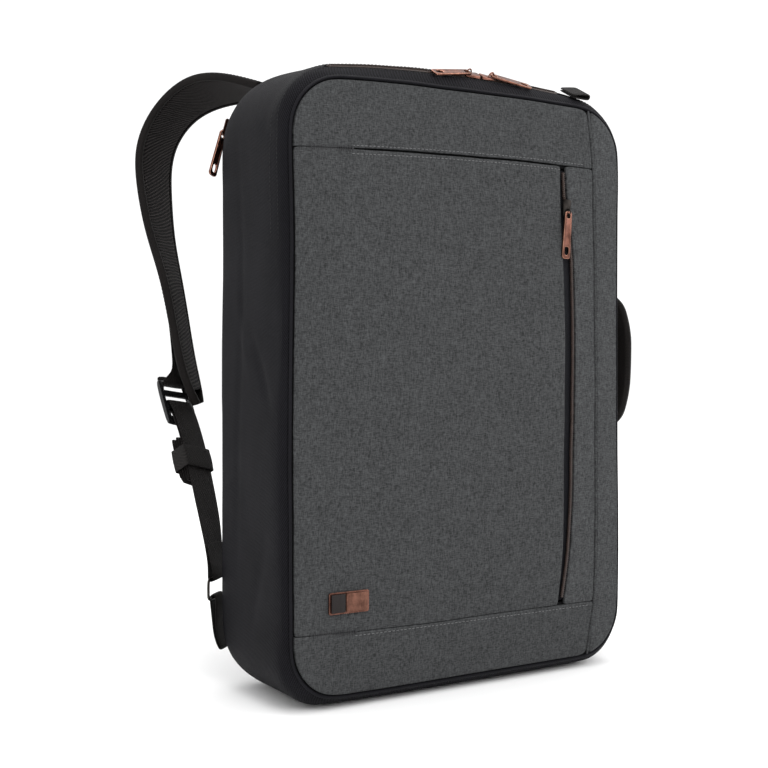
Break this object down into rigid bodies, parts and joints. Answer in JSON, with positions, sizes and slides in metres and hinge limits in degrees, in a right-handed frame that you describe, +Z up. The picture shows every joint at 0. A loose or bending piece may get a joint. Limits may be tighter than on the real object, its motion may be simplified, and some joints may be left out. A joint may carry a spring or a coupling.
{
  "type": "convertible backpack",
  "caption": "Soft rectangular backpack with a padded heather front, dark gusset, metal zip pulls, a side grab handle and padded shoulder straps.",
  "frame": {"origin": "middle of the flat base", "axes": "+Z up, +X to the side with the grab handle, -Y out of the front"},
  "size_m": [0.3542, 0.3028, 0.4657],
  "materials": {
    "gusset_fabric": "fine twill, nearly black",
    "heather_fabric": "dark grey melange weave",
    "lining": "plain black",
    "zip_tape": "black herringbone tape",
    "zip_coil": "dark brown coil",
    "copper_metal": "satin copper plating",
    "webbing": "black ribbed webbing",
    "spacer_mesh": "black spacer mesh",
    "moulded_plastic": "glossy black",
    "root_fabric": "plain grey"
  },
  "bodies": {
    "bag": {"gusset_band": "gusset_fabric", "front_top_panel": "heather_fabric", "front_main_panel": "heather_fabric", "front_zip_strip": "heather_fabric", "front_side_strip": "heather_fabric", "front_bottom_panel": "heather_fabric", "front_backing": "lining", "front_zip_tape": "zip_tape", "front_piping": "gusset_fabric", "side_welt": "gusset_fabric", "front_zip_coil": "zip_coil", "main_zip_tape": "zip_tape", "main_zip_coil": "zip_coil", "back_zip_tape": "zip_tape", "back_zip_coil": "zip_coil", "main_zip_left_slider": "copper_metal", "main_zip_right_slider": "copper_metal", "back_zip_slider": "copper_metal", "front_zip_slider": "copper_metal", "back_panel": "spacer_mesh", "strap_yoke": "webbing", "side_handle_grip": "webbing", "side_handle_anchor_low": "webbing", "side_handle_anchor_high": "webbing", "corner_loop": "webbing", "badge_plate": "copper_metal", "strap_left_cover": "webbing", "strap_left_mesh": "spacer_mesh", "strap_left_root": "root_fabric", "strap_left_buckle": "moulded_plastic", "strap_left_upper_webbing": "webbing", "strap_left_lower_webbing": "webbing", "strap_left_keeper": "webbing", "strap_left_ring": "moulded_plastic", "strap_left_anchor": "webbing", "strap_right_cover": "webbing", "strap_right_mesh": "spacer_mesh", "strap_right_root": "root_fabric", "strap_right_buckle": "moulded_plastic", "strap_right_upper_webbing": "webbing", "strap_right_lower_webbing": "webbing", "strap_right_keeper": "webbing", "strap_right_ring": "moulded_plastic", "strap_right_anchor": "webbing"},
    "main_zip_left_pull_body": {"main_zip_left_pull": "copper_metal"},
    "main_zip_right_pull_body": {"main_zip_right_pull": "copper_metal"},
    "back_zip_pull_body": {"back_zip_pull": "copper_metal"},
    "front_zip_pull_body": {"front_zip_pull": "copper_metal"}
  },
  "joints": [
    {"name": "main_zip_left_pull_hinge", "type": "hinge", "parent": "bag", "child": "main_zip_left_pull_body", "pos_m": [0.00975, -0.04319, 0.45071], "axis": [-0.1447, 0.8167, 0.5586], "range_deg": [0, 100]},
    {"name": "main_zip_right_pull_hinge", "type": "hinge", "parent": "bag", "child": "main_zip_right_pull_body", "pos_m": [0.03088, -0.04317, 0.45014], "axis": [-0.1749, -0.8207, -0.544], "range_deg": [0, 100]},
    {"name": "back_zip_pull_hinge", "type": "hinge", "parent": "bag", "child": "back_zip_pull_body", "pos_m": [-0.14146, 0.05627, 0.4062], "axis": [0.8591, 0.382, -0.3405], "range_deg": [0, 100]},
    {"name": "front_zip_pull_hinge", "type": "hinge", "parent": "bag", "child": "front_zip_pull_body", "pos_m": [0.09059, -0.06132, 0.34951], "axis": [-0.9978, 0, 0.0657], "range_deg": [0, 120]}
  ]
}
